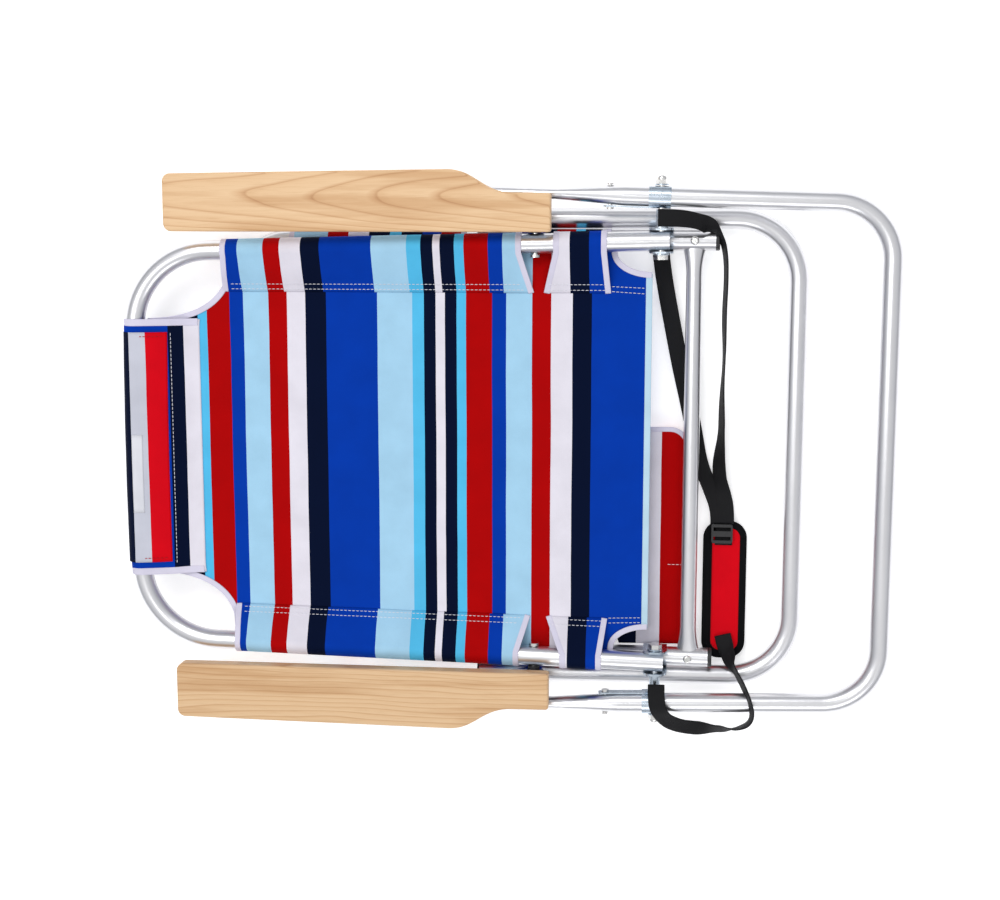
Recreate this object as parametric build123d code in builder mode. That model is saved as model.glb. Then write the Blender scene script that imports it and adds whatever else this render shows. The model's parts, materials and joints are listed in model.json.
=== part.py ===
from build123d import *
import os
from math import sin, cos, tan, atan, atan2, asin, degrees, radians, hypot, pi

os.makedirs("parts", exist_ok=True)

# ---------------------------------------------------------------------------
# Folding low beach chair, folded flat and lying on its legs.
# +Z up, +X toward the feet end, the head of the backrest toward -X.
# "right" is +Y, "left" is -Y.  All X values below are measured from the main
# hinge axis and HX moves them into the part frame (origin at the middle of the
# footprint, on the surface the chair lies on).
# ---------------------------------------------------------------------------
HX = 174.3             # main hinge axis, X
TUBE_R = 11.1          # 22.2 mm round aluminium tube
WALL = 1.2
INNER_R = TUBE_R - WALL

HINGE_Z = 52.0         # height of backrest and rear legs when folded
HINGE_Y = 237.0        # half width of backrest at the hinge
BACK_TAPER = 0.0235    # backrest narrows toward the head
BACK_END = 9.0
BACK_BAR = -595.0
BACK_CORNER = 89.0

SEAT_Z = 26.2          # seat frame height under the hinge
SEAT_FRONT_Z = 12.45
SEAT_Y = 237.0
SEAT_END = 60.0
SEAT_BAR = -483.0
SEAT_CORNER = 62.0
SEAT_T = atan((SEAT_Z - SEAT_FRONT_Z) / -SEAT_BAR)   # lean of the folded seat

FRONT_PIVOT = -190.0   # front leg pivot on the seat tube
FRONT_BAR = 153.0
FRONT_Y = 261.0
FRONT_CORNER = 70.0

REAR_Y = 285.0
REAR_TAPER = 0.030
REAR_BAR = 249.0
REAR_CORNER = 63.0
REAR_PIN = -205.0      # pin that carries the armrest
REAR_TIP_R = 11.1

ARM_PIVOT = -138.0
ARM_Z0 = 66.5
ARM_T = 17.0
ARM_FRONT = -549.0
ARM_REAR = -119.0
ARM_IN = 246.5

CROSS_X = 37.0
CROSS_R = 9.0

SLEEVE_IN = 11.3
SLEEVE_OUT = 12.3

BOLT_R = 4.0
PIN_R = 3.0
CLR = 0.08             # running clearance round a hinge pin


def side_plane(x, y, z):
    """Plane with X to the right and Z up, looking along +Y."""
    return Plane(origin=(HX + x, y, z), x_dir=(1, 0, 0), z_dir=(0, -1, 0))


# seat frame plane: leans so that its front bar rests on the surface
SEAT = Plane(origin=(HX, 0, SEAT_Z), x_dir=(cos(SEAT_T), 0, sin(SEAT_T)), z_dir=(-sin(SEAT_T), 0, cos(SEAT_T)))


def seat_pt(x, y, z):
    return SEAT.from_local_coords(Vector(x, y, z))


def seat_section(x):
    """Cross-section plane of the seat frame at x: sketch X is +Y, sketch Y is up."""
    return Plane(origin=seat_pt(x, 0, 0), x_dir=(0, 1, 0), z_dir=SEAT.x_dir)


def seat_side(x, y, z):
    return Plane(origin=seat_pt(x, y, z), x_dir=SEAT.x_dir, z_dir=(0, -1, 0))


SEAT_PIVOT_Z = seat_pt(FRONT_PIVOT, 0, 0).Z
SEAT_PIVOT_X = seat_pt(FRONT_PIVOT, 0, 0).X - HX
FRONT_LEN = FRONT_BAR - SEAT_PIVOT_X
FRONT_T = asin((SEAT_PIVOT_Z - TUBE_R) / FRONT_LEN)
FRONT = Plane(
    origin=(HX + SEAT_PIVOT_X, 0, SEAT_PIVOT_Z),
    x_dir=(cos(FRONT_T), 0, -sin(FRONT_T)),
    z_dir=(sin(FRONT_T), 0, cos(FRONT_T)),
)


def y_hole(x, y, z, r, length):
    """Cut a round hole along Y through whatever is being built."""
    with BuildSketch(side_plane(x, y, z)) as hole:
        Circle(r)
    extrude(hole.sketch, amount=length / 2, both=True, mode=Mode.SUBTRACT)


def y_ring(x, y0, y1, z, r_out, r_in=0.0):
    """A washer, bush or shank along Y from y0 to y1."""
    with BuildSketch(side_plane(x, (y0 + y1) / 2, z)) as ring:
        Circle(r_out)
        if r_in > 0:
            Circle(r_in, mode=Mode.SUBTRACT)
    extrude(ring.sketch, amount=abs(y1 - y0) / 2, both=True)


def y_hex(x, y0, y1, z, flats, r_in=0.0):
    with BuildSketch(side_plane(x, (y0 + y1) / 2, z)) as hexagon:
        RegularPolygon(radius=flats / 2, side_count=6, major_radius=False)
        if r_in > 0:
            Circle(r_in, mode=Mode.SUBTRACT)
    extrude(hexagon.sketch, amount=abs(y1 - y0) / 2, both=True)


def finish(builder, label):
    builder.part.label = label
    export_step(builder.part, "parts/" + label + ".step")


# ---------------------------------------------------------------- backrest tube
back_w = BACK_TAPER * BACK_BAR + HINGE_Y
with BuildPart() as back_tube:
    with BuildLine(Plane.XY.offset(HINGE_Z)) as back_path:
        FilletPolyline(
            (HX + BACK_END, HINGE_Y + BACK_TAPER * BACK_END),
            (HX + BACK_BAR, back_w),
            (HX + BACK_BAR, -back_w),
            (HX + BACK_END, -HINGE_Y - BACK_TAPER * BACK_END),
            radius=BACK_CORNER,
        )
    with BuildSketch(Plane(origin=back_path.line @ 0, z_dir=back_path.line % 0)):
        Circle(TUBE_R)
        Circle(INNER_R, mode=Mode.SUBTRACT)
    sweep(path=back_path.line)
    for side in (1, -1):
        y_hole(0, side * HINGE_Y, HINGE_Z, BOLT_R + CLR, 40)
        y_hole(ARM_PIVOT, side * (HINGE_Y + BACK_TAPER * ARM_PIVOT), HINGE_Z, PIN_R + CLR, 40)
finish(back_tube, "back_tube")

# ---------------------------------------------------------------- seat tube
with BuildPart() as seat_tube:
    with BuildLine(SEAT) as seat_path:
        FilletPolyline((SEAT_END, SEAT_Y), (SEAT_BAR, SEAT_Y), (SEAT_BAR, -SEAT_Y), (SEAT_END, -SEAT_Y), radius=SEAT_CORNER)
    with BuildSketch(Plane(origin=seat_path.line @ 0, z_dir=seat_path.line % 0)):
        Circle(TUBE_R)
        Circle(INNER_R, mode=Mode.SUBTRACT)
    sweep(path=seat_path.line)
    for side in (1, -1):
        y_hole(SEAT_PIVOT_X, side * SEAT_Y, SEAT_PIVOT_Z, 3.6, 40)
        p = seat_pt(0, side * SEAT_Y, 3.0)
        y_hole(p.X - HX, side * SEAT_Y, p.Z, 2.5, 40)
        with BuildSketch(Plane(origin=seat_pt(CROSS_X, side * SEAT_Y, 0), x_dir=SEAT.x_dir, z_dir=SEAT.z_dir)):
            Circle(2.5)
        extrude(amount=20, both=True, mode=Mode.SUBTRACT)
finish(seat_tube, "seat_tube")

# ---------------------------------------------------------------- seat crossbar
with BuildPart() as seat_crossbar:
    def cross_plane(y):
        return Plane(origin=seat_pt(CROSS_X, y, 0), x_dir=SEAT.x_dir, z_dir=(0, 1, 0))
    with BuildSketch(cross_plane(0)):
        Circle(CROSS_R)
    extrude(amount=196, both=True)
    for side in (1, -1):
        with BuildSketch(cross_plane(side * 196)):
            Circle(CROSS_R)
        with BuildSketch(cross_plane(side * 214)):
            Ellipse(10.0, 8.6)
        with BuildSketch(cross_plane(side * 232)):
            Ellipse(13.6, 7.6)
        loft()
    with BuildSketch(cross_plane(0)):
        Circle(CROSS_R - WALL)
    extrude(amount=196, both=True, mode=Mode.SUBTRACT)
    for side in (1, -1):
        with BuildSketch(cross_plane(side * 196)):
            Circle(CROSS_R - WALL)
        with BuildSketch(cross_plane(side * 214)):
            Ellipse(10.0 - WALL, 8.6 - WALL)
        with BuildSketch(cross_plane(side * 232)):
            Ellipse(13.6 - WALL, 7.6 - WALL)
        loft(mode=Mode.SUBTRACT)
    with BuildSketch(seat_section(CROSS_X)):
        with Locations((SEAT_Y, 0), (-SEAT_Y, 0)):
            Circle(TUBE_R + 0.05)
    extrude(amount=40, both=True, mode=Mode.SUBTRACT)
finish(seat_crossbar, "seat_crossbar")

# dome rivets that hold the crossbar
with BuildPart() as crossbar_rivets:
    for side in (1, -1):
        for z0, h, r in ((-13.0, 25.0, 2.4), (-13.2, 1.9, 4.0), (11.2, 2.7, 4.8)):
            with BuildSketch(Plane(origin=seat_pt(CROSS_X, side * SEAT_Y, z0), x_dir=SEAT.x_dir, z_dir=SEAT.z_dir)):
                Circle(r)
            extrude(amount=h)
    fillet(crossbar_rivets.edges().filter_by(GeomType.CIRCLE).group_by(Axis.Z)[-1], 2.2)
finish(crossbar_rivets, "crossbar_rivets")

# black plugs in the open rear ends of the seat tube
with BuildPart() as seat_end_plugs:
    for side in (1, -1):
        with BuildSketch(seat_section(SEAT_END)) as s:
            with Locations((side * SEAT_Y, 0)):
                Circle(TUBE_R)
        extrude(amount=4.5)
        with BuildSketch(seat_section(SEAT_END)):
            with Locations((side * SEAT_Y, 0)):
                Circle(INNER_R - 0.1)
        extrude(amount=-11)
    fillet(seat_end_plugs.edges().filter_by(GeomType.CIRCLE).group_by(Axis.X)[-1], 1.6)
finish(seat_end_plugs, "seat_end_plugs")

# ---------------------------------------------------------------- hinge clevis
CL_IN, CL_OUT = 11.6, 13.6
clevis_top = HINGE_Z - SEAT_Z
with BuildPart() as clevis_right:
    with BuildSketch(seat_section(0)):
        with Locations((SEAT_Y, 0)):
            Circle(CL_OUT)
            Circle(CL_IN, mode=Mode.SUBTRACT)
        with Locations((SEAT_Y, 20)):
            Rectangle(2 * CL_OUT, 40, mode=Mode.SUBTRACT)
        for s in (1, -1):
            with Locations((SEAT_Y + s * (CL_IN + CL_OUT) / 2, 19)):
                Rectangle(CL_OUT - CL_IN, 38)
    extrude(amount=16, both=True)
    with BuildSketch(side_plane(0, SEAT_Y, HINGE_Z)):
        Circle(13.5)
        with Locations((0, -20)):
            Rectangle(27, 40)
    extrude(amount=30, both=True, mode=Mode.INTERSECT)
    y_hole(0, SEAT_Y, HINGE_Z, BOLT_R + CLR, 40)
    p = seat_pt(0, SEAT_Y, 3.0)
    y_hole(p.X - HX, SEAT_Y, p.Z, 2.5, 40)
finish(clevis_right, "clevis_right")
with BuildPart() as clevis_left:
    mirror(clevis_right.part, about=Plane.XZ)
finish(clevis_left, "clevis_left")

with BuildPart() as clevis_rivets:
    for side in (1, -1):
        p = seat_pt(0, side * SEAT_Y, 3.0)
        y_ring(p.X - HX, side * (SEAT_Y - 13.8), side * (SEAT_Y + 13.8), p.Z, 2.4)
        y_ring(p.X - HX, side * (SEAT_Y - 15.6), side * (SEAT_Y - 13.8), p.Z, 4.4)
        y_ring(p.X - HX, side * (SEAT_Y + 13.8), side * (SEAT_Y + 14.6), p.Z, 3.6)
finish(clevis_rivets, "clevis_rivets")

# ---------------------------------------------------------------- main hinge bolts
with BuildPart() as main_bolts:
    for side in (1, -1):
        y_hex(0, side * 216.4, side * 221.4, HINGE_Z, 13)
        y_ring(0, side * 221.3, side * 301.5, HINGE_Z, BOLT_R)
finish(main_bolts, "main_bolts")

with BuildPart() as main_washers:
    for side in (1, -1):
        y_ring(0, side * 221.5, side * 223.0, HINGE_Z, 8.5, BOLT_R + 0.05)
        y_ring(0, side * 251.0, side * 252.4, HINGE_Z, 8.5, BOLT_R + 0.05)
        y_ring(0, side * 296.9, side * 298.2, HINGE_Z, 7.5, BOLT_R + 0.05)
finish(main_washers, "main_washers")

with BuildPart() as main_spacers:
    for side in (1, -1):
        y_ring(0, side * 252.5, side * 271.0, HINGE_Z, 6.0, BOLT_R + 0.05)
finish(main_spacers, "main_spacers")

with BuildPart() as acorn_nuts:
    for side in (1, -1):
        y_hex(0, side * 298.3, side * 303.0, HINGE_Z, 13)
        y_ring(0, side * 302.9, side * 308.0, HINGE_Z, 5.9)
    fillet(acorn_nuts.edges().filter_by(GeomType.CIRCLE).group_by(Axis.Y)[0], 3.4)
    fillet(acorn_nuts.edges().filter_by(GeomType.CIRCLE).group_by(Axis.Y)[-1], 3.4)
    for side in (1, -1):
        y_hole(0, side * 299.0, HINGE_Z, BOLT_R + 0.05, 6.0)
finish(acorn_nuts, "acorn_nuts")

# ---------------------------------------------------------------- front legs
with BuildPart() as front_leg_tube:
    with BuildLine(FRONT) as front_path:
        FilletPolyline((-14, FRONT_Y), (FRONT_LEN, FRONT_Y), (FRONT_LEN, -FRONT_Y), (-14, -FRONT_Y), radius=FRONT_CORNER)
    with BuildSketch(Plane(origin=front_path.line @ 0, z_dir=front_path.line % 0)):
        Circle(TUBE_R)
        Circle(INNER_R, mode=Mode.SUBTRACT)
    sweep(path=front_path.line)
    for side in (1, -1):
        y_hole(SEAT_PIVOT_X, side * FRONT_Y, SEAT_PIVOT_Z, 3.5 + CLR, 40)
finish(front_leg_tube, "front_leg_tube")

with BuildPart() as front_leg_plugs:
    for side in (1, -1):
        end = Plane(origin=FRONT.from_local_coords(Vector(-14, side * FRONT_Y, 0)), x_dir=(0, 1, 0), z_dir=-FRONT.x_dir)
        with BuildSketch(end):
            Circle(TUBE_R)
        extrude(amount=2.0)
        with BuildSketch(end):
            Circle(INNER_R - 0.1)
        extrude(amount=-8)
finish(front_leg_plugs, "front_leg_plugs")

with BuildPart() as front_leg_bolts:
    for side in (1, -1):
        y_ring(SEAT_PIVOT_X, side * 222.0, side * 225.5, SEAT_PIVOT_Z, 6.5)
        y_ring(SEAT_PIVOT_X, side * 225.4, side * 277.6, SEAT_PIVOT_Z, 3.5)
        y_hex(SEAT_PIVOT_X, side * 272.6, side * 276.6, SEAT_PIVOT_Z, 10)
        y_ring(SEAT_PIVOT_X, side * 248.45, side * 249.55, SEAT_PIVOT_Z, 8.0)
finish(front_leg_bolts, "front_leg_bolts")

# ---------------------------------------------------------------- rear legs
REAR_T = atan(REAR_TAPER)


def rear_plane(x, side=1):
    """Section plane across the rear-leg side tube at x: sketch X is outward, sketch Y is up."""
    return Plane(origin=(HX + x, side * (REAR_Y - REAR_TAPER * x), HINGE_Z), x_dir=(-side * 0 + sin(REAR_T), side * cos(REAR_T), 0),
                 z_dir=(side * cos(REAR_T), -sin(REAR_T), 0))


R_ROUND, R_FLAT = -42.0, -116.0
with BuildPart() as rear_leg_tube:
    with BuildLine(Plane.XY.offset(HINGE_Z)) as rear_path:
        FilletPolyline(
            (HX + R_ROUND, REAR_Y - REAR_TAPER * R_ROUND),
            (HX + REAR_BAR, REAR_Y - REAR_TAPER * REAR_BAR),
            (HX + REAR_BAR, -REAR_Y + REAR_TAPER * REAR_BAR),
            (HX + R_ROUND, -REAR_Y + REAR_TAPER * R_ROUND),
            radius=REAR_CORNER,
        )
    with BuildSketch(Plane(origin=rear_path.line @ 0, z_dir=rear_path.line % 0)):
        Circle(TUBE_R)
        Circle(INNER_R, mode=Mode.SUBTRACT)
    sweep(path=rear_path.line)
with BuildPart() as rear_blade:
    a = rear_plane(R_ROUND)
    b = rear_plane(R_FLAT)
    with BuildSketch(a):
        Circle(TUBE_R)
    with BuildSketch(b):
        Ellipse(6.5, TUBE_R)
    loft()
    with BuildSketch(b):
        Ellipse(6.5, TUBE_R)
    extrude(amount=-104)
    with BuildSketch(a):
        Circle(INNER_R)
    with BuildSketch(b):
        Ellipse(5.3, INNER_R)
    loft(mode=Mode.SUBTRACT)
    with BuildSketch(b):
        Ellipse(5.3, INNER_R)
    extrude(amount=-104, mode=Mode.SUBTRACT)
    with BuildSketch(side_plane(REAR_PIN, REAR_Y, HINGE_Z)):
        Circle(REAR_TIP_R)
        with Locations((100, 0)):
            Rectangle(200, 2 * REAR_TIP_R + 2)
    extrude(amount=30, both=True, mode=Mode.INTERSECT)
with BuildPart() as rear_leg:
    add(rear_leg_tube.part)
    add(rear_blade.part)
    mirror(rear_blade.part, about=Plane.XZ)
    for side in (1, -1):
        y_hole(0, side * REAR_Y, HINGE_Z, BOLT_R + CLR, 40)
        y_hole(REAR_PIN, side * 291, HINGE_Z, PIN_R, 40)
        y_hole(-56, side * 286.7, HINGE_Z, 2.5, 40)
finish(rear_leg, "rear_leg_tube")

# stamped saddle that wraps the rear leg at the hinge, with a riveted tongue
with BuildPart() as saddle_bracket_right:
    with BuildSketch(rear_plane(-2)):
        Circle(13.1)
        Circle(11.3, mode=Mode.SUBTRACT)
        with Locations((0, -15)):
            Rectangle(40, 30, mode=Mode.SUBTRACT)
        with Locations((20, 4)):
            Rectangle(24, 9, mode=Mode.SUBTRACT)
        with Locations((-12.2, -4.5)):
            Rectangle(1.8, 9)
    extrude(amount=12, both=True)
    with BuildSketch(Plane(origin=rear_plane(-30).origin + rear_plane(-30).x_dir * -12.2, x_dir=rear_plane(-30).z_dir, z_dir=-rear_plane(-30).x_dir)):
        with Locations((-5, 0)):
            Rectangle(50, 11)
        with Locations((-28, 0)):
            Circle(5.5)
    extrude(amount=0.9, both=True)
    y_hole(0, REAR_Y, HINGE_Z, BOLT_R + CLR, 60)
    y_hole(-56, 286.7 - 12, HINGE_Z, 2.5, 20)
finish(saddle_bracket_right, "saddle_bracket_right")
with BuildPart() as saddle_bracket_left:
    mirror(saddle_bracket_right.part, about=Plane.XZ)
finish(saddle_bracket_left, "saddle_bracket_left")

with BuildPart() as saddle_rivets:
    for side in (1, -1):
        y_ring(-56, side * 273.2, side * 298.2, HINGE_Z, 2.4)
        y_ring(-56, side * 271.2, side * 273.3, HINGE_Z, 4.2)
        y_ring(-56, side * 298.0, side * 299.4, HINGE_Z, 4.0)
finish(saddle_rivets, "saddle_rivets")

with BuildPart() as track_pins:
    for side in (1, -1):
        y_ring(REAR_PIN, side * 276.0, side * 299.5, HINGE_Z, PIN_R - 0.05)
        y_ring(REAR_PIN, side * 273.6, side * 276.1, HINGE_Z, 5.0)
        y_ring(REAR_PIN, side * 298.4, side * 300.2, HINGE_Z, 4.4)
finish(track_pins, "track_pins")

# ---------------------------------------------------------------- armrests
with BuildPart() as arm_board_right:
    with BuildSketch(Plane.XY.offset(ARM_Z0)):
        with BuildLine():
            Line((HX + ARM_REAR, ARM_IN), (HX + ARM_FRONT, ARM_IN))
            Line((HX + ARM_FRONT, ARM_IN), (HX + ARM_FRONT, ARM_IN + 63.5))
            Line((HX + ARM_FRONT, ARM_IN + 63.5), (HX - 233, ARM_IN + 67.5))
            Spline(
                (HX - 233, ARM_IN + 67.5),
                (HX - 197, ARM_IN + 54.5),
                (HX - 162, ARM_IN + 42.5),
                tangents=[(1, 0.012), (1, -0.02)],
            )
            Line((HX - 162, ARM_IN + 42.5), (HX + ARM_REAR, ARM_IN + 42.0))
            Line((HX + ARM_REAR, ARM_IN + 42.0), (HX + ARM_REAR, ARM_IN))
        make_face()
    extrude(amount=ARM_T)
    fillet(arm_board_right.edges().filter_by(Axis.Z).group_by(Axis.X)[0], 9)
    fillet(arm_board_right.edges().filter_by(Axis.Z).group_by(Axis.X)[-1], 3)
    fillet(arm_board_right.faces().sort_by(Axis.Z)[-1].edges(), 2.6)
    fillet(arm_board_right.faces().sort_by(Axis.Z)[0].edges(), 1.6)
    for (sx, sy) in ((-160, 262), (-133, 262), (-215, 268), (-330, 268), (-450, 268)):
        with BuildSketch(Plane.XY.offset(ARM_Z0)):
            with Locations((HX + sx, sy)):
                Circle(2.0)
        extrude(amount=11, mode=Mode.SUBTRACT)
finish(arm_board_right, "arm_board_right")
with BuildPart() as arm_board_left:
    mirror(arm_board_right.part, about=Plane.XZ)
finish(arm_board_left, "arm_board_left")

# angle bracket that hangs the arm on the backrest
with BuildPart() as arm_bracket_right:
    with BuildSketch(Plane.XY.offset(ARM_Z0 - 1.6)):
        with Locations((HX - 146.5, 259.5)):
            Rectangle(45, 23)
    extrude(amount=1.6)
    with BuildSketch(side_plane(ARM_PIVOT, 249.0, HINGE_Z)):
        Circle(9)
        with BuildLine():
            Polyline((-9, 0), (-31, ARM_Z0 - HINGE_Z), (14, ARM_Z0 - HINGE_Z), (9, 0), (-9, 0))
        make_face()
    extrude(amount=1.0, both=True)
    y_hole(ARM_PIVOT, 249, HINGE_Z, PIN_R + CLR, 20)
    for sx in (-160, -133):
        with BuildSketch(Plane.XY.offset(ARM_Z0 - 3)):
            with Locations((HX + sx, 262)):
                Circle(2.1)
        extrude(amount=4, mode=Mode.SUBTRACT)
finish(arm_bracket_right, "arm_bracket_right")
with BuildPart() as arm_bracket_left:
    mirror(arm_bracket_right.part, about=Plane.XZ)
finish(arm_bracket_left, "arm_bracket_left")

# notched rail under the arm, carried by the rear-leg pin
RAIL_X0, RAIL_X1 = ARM_PIVOT - 50.0, ARM_PIVOT - 332.0
with BuildPart() as arm_rail_right:
    with BuildSketch(Plane.XY.offset(ARM_Z0 - 1.5)):
        with Locations((HX + (RAIL_X0 + RAIL_X1) / 2, 271.0)):
            Rectangle(RAIL_X0 - RAIL_X1, 19)
    extrude(amount=1.5)
    with BuildSketch(side_plane(0, 279.75, 0)):
        with Locations(((RAIL_X0 + RAIL_X1) / 2, (55.5 + ARM_Z0) / 2)):
            Rectangle(RAIL_X0 - RAIL_X1, ARM_Z0 - 55.5)
        with Locations(*[(ARM_PIVOT - s, 55.5) for s in (67, 206, 233, 260, 287, 313)]):
            Circle(3.8, mode=Mode.SUBTRACT)
    extrude(amount=0.75, both=True)
    for sx in (-215, -330, -450):
        with BuildSketch(Plane.XY.offset(ARM_Z0 - 3)):
            with Locations((HX + sx, 268)):
                Circle(2.1)
        extrude(amount=4, mode=Mode.SUBTRACT)
finish(arm_rail_right, "arm_rail_right")
with BuildPart() as arm_rail_left:
    mirror(arm_rail_right.part, about=Plane.XZ)
finish(arm_rail_left, "arm_rail_left")

with BuildPart() as arm_screws_right:
    for (sx, sy) in ((-160, 262), (-133, 262), (-215, 268), (-330, 268), (-450, 268)):
        with BuildSketch(Plane.XY.offset(ARM_Z0 - 1.7 - 1.9)):
            with Locations((HX + sx, sy)):
                Circle(3.6)
        extrude(amount=1.9)
        with BuildSketch(Plane.XY.offset(ARM_Z0 - 1.9)):
            with Locations((HX + sx, sy)):
                Circle(1.9)
        extrude(amount=12)
finish(arm_screws_right, "arm_screws_right")
with BuildPart() as arm_screws_left:
    mirror(arm_screws_right.part, about=Plane.XZ)
finish(arm_screws_left, "arm_screws_left")

for side, word in ((1, "right"), (-1, "left")):
    with BuildPart() as arm_bolt:
        y_ring(ARM_PIVOT, side * 218.6, side * 221.6, HINGE_Z, 5.4)
        y_ring(ARM_PIVOT, side * 221.5, side * 255.4, HINGE_Z, PIN_R)
        y_hex(ARM_PIVOT, side * 250.4, side * 254.4, HINGE_Z, 9)
    finish(arm_bolt, "arm_bolt_" + word)
    with BuildPart() as arm_spacer:
        y_ring(ARM_PIVOT, side * 245.3, side * 247.6, HINGE_Z, 6.8, PIN_R + 0.05)
    finish(arm_spacer, "arm_spacer_" + word)


# ---------------------------------------------------------------- fabric
def sleeve_outline(inboard, flip=1):
    """Cloth round a tube and sewn back to the panel: ring, sloping flap and a strip of panel.
    Sketch X is inboard, sketch Y up; flip=-1 puts the panel on top and the flap below."""
    r0, r1 = SLEEVE_IN, SLEEVE_OUT
    slope = 2 * atan(r0 / inboard)
    tx, ty = sin(slope), cos(slope)
    Circle(r1)
    Circle(r0, mode=Mode.SUBTRACT)
    with BuildLine() as flap:
        Polyline(
            (r0 * tx, flip * r0 * ty),
            (r1 * tx, flip * r1 * ty),
            (inboard + 2.4, flip * -(r0 - 0.1)),
            (inboard, flip * -(r0 + 0.4)),
            (r0 * tx, flip * r0 * ty),
        )
    make_face(flap.edges())
    with Locations(((inboard + 4) / 2, flip * -(r0 + r1) / 2)):
        Rectangle(inboard + 4, r1 - r0)


BT = atan(BACK_TAPER)


def back_section(x):
    return Plane(origin=(HX + x, HINGE_Y + BACK_TAPER * x, HINGE_Z), x_dir=(sin(BT), -cos(BT), 0), z_dir=(-cos(BT), -sin(BT), 0))


FLAP = 52.0
with BuildPart() as back_lobes:
    for x0, x1 in ((-149.5, -486), (-59, -123.5)):
        with BuildSketch(back_section(x0)):
            sleeve_outline(FLAP)
        extrude(amount=(x0 - x1) / cos(BT))
with BuildPart() as back_fabric:
    z_panel = HINGE_Z - SLEEVE_OUT
    with BuildSketch(Plane.XY.offset(z_panel)):
        with BuildLine():
            Line((HX - 595, -146), (HX - 595, 146))
            ThreePointArc((HX - 595, 146), (HX - 530, 162), (HX - 486, 208))
            Line((HX - 486, 208), (HX - 486, 224))
            Line((HX - 486, 224), (HX - 59, 234))
            Line((HX - 59, 234), (HX - 59, 222))
            ThreePointArc((HX - 59, 222), (HX - 40, 206), (HX - 10, 198))
            Line((HX - 10, 198), (HX - 10, -198))
            ThreePointArc((HX - 10, -198), (HX - 40, -206), (HX - 59, -222))
            Line((HX - 59, -222), (HX - 59, -234))
            Line((HX - 59, -234), (HX - 486, -224))
            Line((HX - 486, -224), (HX - 486, -208))
            ThreePointArc((HX - 486, -208), (HX - 530, -162), (HX - 595, -146))
        make_face()
    extrude(amount=SLEEVE_OUT - SLEEVE_IN)
    add(back_lobes.part)
    mirror(back_lobes.part, about=Plane.XZ)
    with BuildSketch(Plane(origin=(HX + BACK_BAR, 134, HINGE_Z), x_dir=(1, 0, 0), z_dir=(0, -1, 0))):
        sleeve_outline(38)
    extrude(amount=268)
finish(back_fabric, "back_fabric")

# loose band sewn over the head of the backrest
with BuildPart() as head_band:
    hb0, hb1 = SLEEVE_OUT + 0.3, SLEEVE_OUT + 1.5
    slope = 2 * atan(SLEEVE_IN / 38)
    with BuildSketch(Plane(origin=(HX + BACK_BAR, 132, HINGE_Z), x_dir=(1, 0, 0), z_dir=(0, -1, 0))):
        with BuildLine():
            a0 = (-hb0, 0)
            a1 = (-hb1, 0)
            t0 = (hb0 * sin(slope), hb0 * cos(slope))
            t1 = (hb1 * sin(slope), hb1 * cos(slope))
            m0 = (hb0 * cos(radians(125)), hb0 * sin(radians(125)))
            m1 = (hb1 * cos(radians(125)), hb1 * sin(radians(125)))
            run = 30.0
            e0 = (t0[0] + run * cos(slope), t0[1] - run * sin(slope))
            e1 = (t1[0] + run * cos(slope), t1[1] - run * sin(slope))
            ThreePointArc(a0, m0, t0)
            Line(t0, e0)
            Line(e0, e1)
            Line(e1, t1)
            ThreePointArc(t1, m1, a1)
            Line(a1, a0)
        make_face()
    extrude(amount=264)
finish(head_band, "head_band")

# seat sling, panel on top, flaps below
with BuildPart() as seat_lobes:
    for x0, x1 in ((-217, -420), (-55, -163)):
        with BuildSketch(Plane(origin=seat_pt(x0, SEAT_Y, 0), x_dir=(0, -1, 0), z_dir=-SEAT.x_dir)):
            sleeve_outline(FLAP, flip=-1)
        extrude(amount=x0 - x1)
with BuildPart() as seat_fabric:
    with BuildSketch(Plane(origin=seat_pt(0, 0, SLEEVE_IN), x_dir=SEAT.x_dir, z_dir=SEAT.z_dir)):
        with BuildLine():
            Line((-483, -150), (-483, 150))
            ThreePointArc((-483, 150), (-444, 170), (-420, 212))
            Line((-420, 212), (-420, 236))
            Line((-420, 236), (-55, 236))
            Line((-55, 236), (-55, 222))
            ThreePointArc((-55, 222), (-40, 207), (-18, 200))
            Line((-18, 200), (-18, -200))
            ThreePointArc((-18, -200), (-40, -207), (-55, -222))
            Line((-55, -222), (-55, -236))
            Line((-55, -236), (-420, -236))
            Line((-420, -236), (-420, -212))
            ThreePointArc((-420, -212), (-444, -170), (-483, -150))
        make_face()
    extrude(amount=SLEEVE_OUT - SLEEVE_IN)
    add(seat_lobes.part)
    mirror(seat_lobes.part, about=Plane.XZ)
    with BuildSketch(Plane(origin=seat_pt(SEAT_BAR, 150, 0), x_dir=SEAT.x_dir, z_dir=(0, -1, 0))):
        sleeve_outline(FLAP - 6, flip=-1)
    extrude(amount=300)
finish(seat_fabric, "seat_fabric")

# flat pouch under the back of the seat
with BuildPart() as seat_pouch:
    with BuildSketch(seat_side(0, 25, 0)):
        with BuildLine():
            Polyline((-205, 11.2), (-120, 11.2), (-60, -7), (34, -14.5), (34, -17.5), (-66, -11), (-128, 6.5), (-205, 8.2), (-205, 11.2))
        make_face()
    extrude(amount=200)
    with BuildSketch(seat_side(0, -175, 0)):
        with BuildLine():
            Polyline((-48, -7.96), (34, -14.5), (34, -17.5), (-48, -12.17), (-48, -7.96))
        make_face()
    extrude(amount=46)
    fillet(seat_pouch.edges().filter_by(Axis.Z, tolerance=2.5).sort_by(Axis.X)[-2:].sort_by(Axis.Y)[-1:], 26)
finish(seat_pouch, "seat_pouch")

# ---------------------------------------------------------------- carry strap
STRAP_R = 3.1          # round solid with the section area of 19 x 1.6 mm webbing
SLIDER_Y = -84.0


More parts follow.
